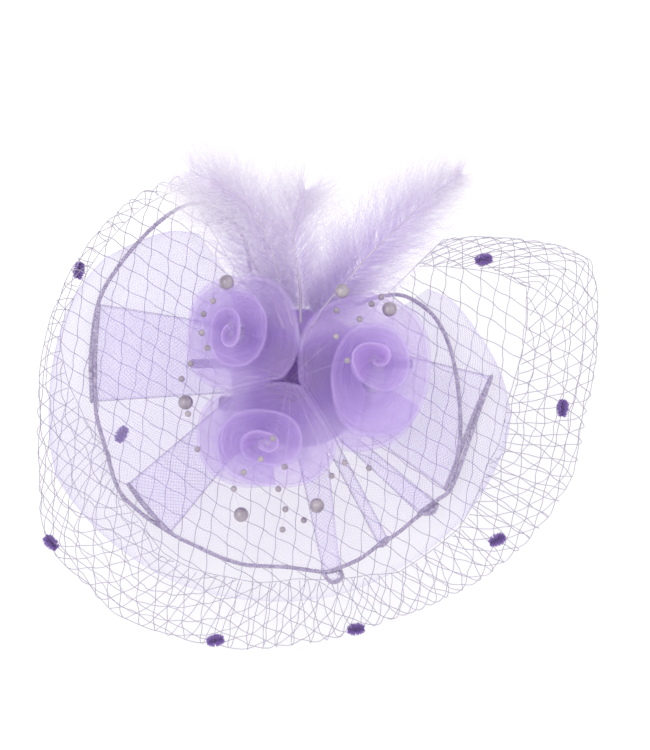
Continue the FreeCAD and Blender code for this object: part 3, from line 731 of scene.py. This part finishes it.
# how far the border lies from the first rose to the second, and which share of the turns is in each part
ROSE_BORDERS = {("left", "lower"): 0.50, ("left", "right"): 0.45, ("lower", "right"): 0.49}
ROSE_PARTS = (("heart", 0.0, 0.37), ("inner_petals", 0.27, 0.72), ("outer_petals", 0.62, 1.12))
ROSES_MEET = np.array((-1.0, 6.0))
ROSE_LOW = 10.5  # the height that the strips are sewn down at
ROSE_TOP = ((0, 0.25, 0.5, 0.75, 1.05), (51, 51, 47.5, 43, 37))  # shares of the turns, heights of the fold
PER_TURN, PROFILE_STEPS = 96, 29


def oval_reach(angle, half_across, half_up, power=2.35):
    """How far a slightly squared oval reaches at an angle."""
    across, up = abs(math.cos(angle) / half_across), abs(math.sin(angle) / half_up)
    return (across ** power + up ** power) ** (-1 / power)


def ring_at(name, turn, angle):
    """Middle and reach of the fold at a turn of the roll, pressed flat against the neighbouring roses."""
    rings = np.array(ROSES[name], float)
    k = min(turn, len(rings) - 1.001)
    i = int(k)
    step = min(1, (k - i) * (1.9 if i == len(rings) - 2 else 1))
    x, y, a, b = rings[i] + (rings[i + 1] - rings[i]) * step
    reach = oval_reach(angle, a, b)
    for pair, share in ROSE_BORDERS.items():
        if name not in pair:
            continue
        other = np.array(ROSES[pair[0] if pair[1] == name else pair[1]][-1][:2])
        own = np.array(ROSES[name][-1][:2])
        gap = (other - own) / np.hypot(*(other - own))
        border = np.hypot(*(other - own)) * (share if pair[0] == name else 1 - share) + 1.5
        border -= (len(rings) - 1 - k) * 2.3 + (np.array((x, y)) - own) @ gap
        facing = math.cos(angle) * gap[0] + math.sin(angle) * gap[1]
        if facing > 0.05:
            reach = min(reach, max(border, 2.5) / facing)
    return x, y, reach


def roll(name, seed, first, last):
    """A stretch of the strip, folded in two along its top edge and wound round from one turn to another."""
    count = int(PER_TURN * (last - first))
    rise, sway, fat = (wander(seed + k, count + 1, scale) for k, scale in enumerate((15, 11, 12)))
    rows = []
    for i in range(count + 1):
        f = i / count
        turn = first + (last - first) * f
        angle = math.radians(ROLL_START[name] + 360 * turn)
        x, y, reach = ring_at(name, turn, angle)
        size = reach + (0.3 + 0.22 * turn) * sway[i]
        way = turn / (len(ROSES[name]) - 1)
        top = np.interp(way, *ROSE_TOP) + (0.4 + 1.4 * way) * rise[i]
        tuck = min(1, f * 8, (1 - f) * 8)
        high = (top - ROSE_LOW) * (0.72 + 0.28 * tuck)
        size *= 0.9 + 0.1 * tuck
        w = min(np.interp(turn, [0, 1, 4], [1.2, 1.7, 3.0]) * (1 + 0.2 * fat[i]), 0.4 * size)
        profile = [(min(0.3 * size, size - 2 * w), 0.24), (size - 1.8 * w, 0.74), (size - 1.15 * w, 0.95),
                   (size - 0.5 * w, 1.0), (size - 0.06 * w, 0.95), (0.93 * size, 0.66), (0.74 * size, 0.30),
                   (0.5 * size, 0.07), (np.interp(way, [0.3, 0.65, 1], [0.06, 0.25, 0.42]) * size, 0.0)]
        line = smooth_line(profile, PROFILE_STEPS)
        rows.append(np.column_stack((x + line[:, 0] * math.cos(angle), y + line[:, 0] * math.sin(angle),
                                     ROSE_LOW + line[:, 1] * high)))
    return np.array(rows)


ROSE_CLOTH = {"heart": HEART_PETAL, "inner_petals": INNER_PETAL, "outer_petals": OUTER_PETAL}


def in_a_rose(point):
    """Whether a point of the plan lies inside the outermost ring of any rose."""
    for name in ROSES:
        x, y = ROSES[name][-1][:2]
        angle = math.atan2(point[1] - y, point[0] - x)
        if math.hypot(point[0] - x, point[1] - y) < ring_at(name, len(ROSES[name]), angle)[2]:
            return True
    return False


def ground():
    """The gathered disc of organza that the roses are sewn on, as wide as they are together, with painted
    shade in its middle.
    """
    angles = np.linspace(0, 2 * math.pi, 121)
    ways = np.column_stack((np.cos(angles), np.sin(angles)))
    rim = np.array([max(r for r in range(5, 90) if in_a_rose(ROSES_MEET + way * r)) for way in ways[:-1]])
    rim = sum(np.roll(rim, shift) for shift in (-2, -1, 0, 1, 2)) / 5
    rim = np.append(rim, rim[0])
    ruck = np.sin(31 * angles) * 0.35
    rows = []
    for share in np.linspace(0.02, 0.96, 21):
        flat = ROSES_MEET + ways * (rim * share)[:, None]
        rows.append(np.column_stack((flat, ROSE_LOW - 1.1 + ruck * share + 1.2 * share ** 3)))
    piece = sheet_piece("rose_ground", np.array(rows), GROUND)


def rose(name, seed):
    turns = len(ROSES[name]) - 1
    for part, first, last in ROSE_PARTS:
        grid = roll(name, seed, first * turns, last * turns)
        piece = sheet_piece(f"rose_{name}_{part}_roll", grid, ROSE_CLOTH[part])
        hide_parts(f"rose_{name}_{part}")
        seed += 7


ground()
for rose_number, rose_name in enumerate(ROSES):
    rose(rose_name, 31 + 40 * rose_number)

# ---------------------------------------------------------------- feathers
FEATHERS = {  # the quill's line, the down's reach along it to the left and right, barbs a side, a seed
    "left_outer": ([(-4, 28, 10), (-9, 44, 16), (-13, 59, 24), (-17, 75, 32), (-26, 90, 40), (-39, 101, 48),
                    (-58, 110, 56)], [14, 26, 32, 34, 38, 40, 30], [10, 16, 24, 32, 38, 40, 28], 1050, 3),
    "left_inner": ([(-9, 27, 10), (-16, 44, 15), (-25, 62, 22), (-32, 80, 29), (-40, 92, 34), (-48, 102, 38)],
                   [14, 28, 38, 40, 34, 24], [10, 22, 32, 40, 38, 26], 760, 5),
    "middle": ([(0, 30, 10), (0, 46, 16), (-2, 62, 26), (-4, 78, 32), (-2, 91, 36), (3, 101, 40)],
               [14, 26, 34, 40, 38, 28], [16, 26, 34, 40, 38, 28], 800, 7),
    "right": ([(6, 28, 10), (14, 40, 16), (24, 51, 22), (37, 66, 32), (54, 82, 44), (69, 96, 52),
               (86, 108, 58)], [16, 34, 42, 44, 42, 30, 14], [14, 26, 36, 38, 32, 22, 12], 2000, 9),
}
BARB, BARBULE = 0.11, 0.075  # half widths
BARBULES = 7
STRAY_SHARE, STRAY_LENGTH = 0.17, 1.75  # long loose barbs in the feather's upper part
CROWDING = {"right": 1.25}  # the power that spaces the barbs towards the root, elsewhere 0.95
PALING = {"right": 1.7}  # the power of the way up that makes the down paler, elsewhere 1
HAIR_TOP = cad_box[1][2] + 0.014  # how high the down may stand, in the shared frame


def wisp(rng, root, heading, length, droop, steps=6):
    """A soft curling filament from root, in steps that wander and bend towards droop."""
    line = [root]
    direction = heading / np.linalg.norm(heading)
    curl = rng.normal(0, 1, 3)
    for i in range(steps - 1):
        direction = direction + curl * 0.10 + rng.normal(0, 0.13, 3) + droop * 0.09
        direction /= np.linalg.norm(direction)
        line.append(line[-1] + direction * length / (steps - 1))
    return np.array(line)


def trimmed(line):
    """The filament, shortened if its tip would rise out of the space that the headpiece has."""
    heights = to_world(line)[:, 2]
    room, rise = HAIR_TOP - heights[0], heights.max() - heights[0]
    return line if rise <= room else line[0] + (line - line[0]) * room / rise


def add_ribbon(verts, faces, uvs, line, width, v0, v1, side):
    """Appends a flat filament, two points wide, tapering to its tip; v0 and v1 are how pale its ends are."""
    start = len(verts)
    count = len(line)
    for i, p in enumerate(line):
        f = i / (count - 1)
        w = width * (1 - 0.75 * f)
        verts.append(p - side * w)
        verts.append(p + side * w)
        uvs += [(f, v0 + (v1 - v0) * f)] * 2
    for i in range(count - 1):
        k = start + 2 * i
        faces.append((k, k + 1, k + 3, k + 2))


def feather(name):
    points, left, right, barbs, seed = FEATHERS[name]
    rng = np.random.default_rng(seed)
    quill = smooth_line(points, 60)
    tangent = np.gradient(quill, axis=0)
    tangent /= np.linalg.norm(tangent, axis=1)[:, None]
    verts, faces, uvs = [], [], []
    for side, reach in ((-1, left), (1, right)):
        for i in range(barbs):
            f = 0.06 + 0.94 * ((i + rng.uniform(0, 1)) / barbs) ** CROWDING.get(name, 0.95)
            k = f * (len(quill) - 1)
            j = min(int(k), len(quill) - 2)
            root = quill[j] + (quill[j + 1] - quill[j]) * (k - j)
            t = tangent[j]
            across = np.cross(t, (0, 0, 1.0))
            across /= np.linalg.norm(across)
            long = np.interp(f * (len(reach) - 1), range(len(reach)), reach) * rng.uniform(0.3, 1.0) ** 0.8
            heading = across * side * rng.uniform(0.5, 1.2) + t * rng.uniform(0.1, 0.9)
            heading = heading + np.array((0, 0, 1.0)) * rng.uniform(-0.4, 0.25)
            stray = f > 0.45 and rng.uniform(0, 1) < STRAY_SHARE
            line = trimmed(wisp(rng, root, heading + t * 0.6 * stray, long * (STRAY_LENGTH if stray else 1), t))
            pale = 0.05 + 0.8 * f ** PALING.get(name, 1.0)
            add_ribbon(verts, faces, uvs, line, BARB, max(pale - 0.25, 0), min(pale + 0.3, 1), across)
            for n in range(2 if stray else BARBULES):
                g = rng.uniform(0.1, 1.0)
                at = g * (len(line) - 1)
                q = min(int(at), len(line) - 2)
                base = line[q] + (line[q + 1] - line[q]) * (at - q)
                go = (line[q + 1] - line[q]) / np.linalg.norm(line[q + 1] - line[q])
                out = go * 0.8 + rng.normal(0, 0.6, 3)
                hair = trimmed(wisp(rng, base, out, rng.uniform(2.5, 6.0) * (0.5 + long / 30), go, 3))
                shade = min(pale + 0.25 * g, 1)
                flat_way = np.cross(go, (0.3, 0.2, 0.9))
                add_ribbon(verts, faces, uvs, hair, BARBULE, shade, min(shade + 0.3, 1), flat_way)
    down = new_piece(f"feather_{name}_down", np.array(verts), faces, DOWN, uvs=uvs)
    shaft = tubes_piece(f"feather_{name}_quill", [quill], np.linspace(0.85, 0.16, len(quill)), QUILL, sides=6)
    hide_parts(f"feather_{name}")


for feather_name in FEATHERS:
    feather(feather_name)

# ---------------------------------------------------------------- ribbon wound round the headband
BAND_RADIUS, BAND_ARC_END, BAND_LEG = 63.0, 120.0, 64.0  # middle of the band's thickness, degrees, leg length
WRAP_HALF_WIDTH, WRAP_HALF_THICK, WRAP_SIDES = 2.6, 0.8, 20
WRAP_STEP = 0.55  # between the rows of points along the band
TURN_STEP, TURN_OVERLAP = 5.5, 0.26  # from turn to turn along the band, and how far each lies over the last


def band_line():
    """The band's middle line from tip to tip, about the axis it slides on."""
    axis_place = (np.array(slide["pos_m"]) - BASE_SHIFT) / MM @ AXES.T
    top = np.radians(np.arange(0, BAND_ARC_END + 0.01, 1.0))
    x, n = BAND_RADIUS * np.sin(top), BAND_RADIUS * np.cos(top)
    end = math.radians(BAND_ARC_END)
    leg = np.arange(1.0, BAND_LEG + 0.01, 1.0)
    x = np.concatenate((x, x[-1] + leg * math.cos(end)))
    n = np.concatenate((n, n[-1] - leg * math.sin(end)))
    half = np.column_stack((x, np.zeros(len(x)), n))
    line = np.vstack((half[:0:-1] * (-1, 1, 1), half)) + axis_place
    return even_line(line, WRAP_STEP)


def ribbon_winding():
    line = band_line()
    tangent = np.gradient(line, axis=0)
    tangent /= np.linalg.norm(tangent, axis=1)[:, None]
    side = np.array((0.0, 1.0, 0.0))
    outward = np.cross(tangent, side)
    verts, uvs = [], []
    for i, p in enumerate(line):
        for k in range(WRAP_SIDES + 1):
            t = 2 * math.pi * k / WRAP_SIDES
            square = 1 / (math.cos(t) ** 4 + math.sin(t) ** 4) ** 0.25
            run = (i * WRAP_STEP / TURN_STEP + k / WRAP_SIDES) % 1.0
            lift = -TURN_OVERLAP * run + 0.06
            verts.append(p + side * (WRAP_HALF_WIDTH + lift) * square * math.cos(t)
                         + outward[i] * (WRAP_HALF_THICK + lift) * square * math.sin(t))
            uvs.append((run * TURN_STEP / 10 + 0.02, i * WRAP_STEP / 10 + k * 0.06))
    winding = new_piece("ribbon_winding", verts, grid_faces(len(line), WRAP_SIDES + 1), BLACK_SATIN, BAND, uvs)
    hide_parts("headband_wrap")


ribbon_winding()

# ---------------------------------------------------------------- materials of the frame's own pieces
LILAC_RIBBON = ribbon("lilac_grosgrain", (0.26, 0.17, 0.42), (0.40, 0.29, 0.58))
LILAC_FELT = felt("lilac_felt", (0.50, 0.34, 0.76), (0.62, 0.46, 0.86))
PURPLE_FELT = felt("purple_felt", (0.10, 0.05, 0.20), (0.22, 0.12, 0.38))
BUCKRAM = felt("buckram", (0.62, 0.60, 0.55), (0.78, 0.76, 0.72), 500.0)
BLACK_LACQUER = lacquer("black_lacquer", (0.012, 0.012, 0.013), (0.05, 0.05, 0.052), coat=0.3)
TIP_PLASTIC = lacquer("tip_plastic", (0.01, 0.01, 0.011), (0.03, 0.03, 0.032), 0.15, 0.3)
SPRING_STEEL = lacquer("spring_steel", (0.5, 0.5, 0.5), (0.66, 0.66, 0.66), 0.2, 0.35, 1.0)
THREAD_MATERIAL = ribbon("sewing_thread", (0.24, 0.16, 0.38), (0.36, 0.26, 0.52), 6000.0)
CLEAR_WIRE = lacquer("clear_wire", (0.62, 0.55, 0.70), (0.74, 0.68, 0.80), 0.2, 0.4, alpha=0.06)
PEARL = pearl()
FRAME_MATERIALS = {  # for every node but the wires and pearls, and the ones that a piece here replaces
    "headband_core": SPRING_STEEL, "headband_tip_left": TIP_PLASTIC, "headband_tip_right": TIP_PLASTIC,
    "band_loop_left": LILAC_RIBBON, "band_loop_right": LILAC_RIBBON, "base_lining": LILAC_FELT,
    "base_stiffener": BUCKRAM, "base_felt_top": LILAC_FELT, "center_pad": PURPLE_FELT,
    "clip_fixed_arm": BLACK_LACQUER, "clip_moving_arm": BLACK_LACQUER, "clip_pin": SPRING_STEEL,
    "clip_spring": SPRING_STEEL, "clip_stitches": THREAD_MATERIAL,
}
for node_name, node_object in frame["nodes"].items():
    if node_name.endswith("_wire"):
        finish = CLEAR_WIRE
    elif node_name.endswith("_pearls"):
        finish = PEARL
    else:
        finish = FRAME_MATERIALS.get(node_name)
    if finish is None:
        continue
    node_object.data.materials.clear()
    node_object.data.materials.append(finish)
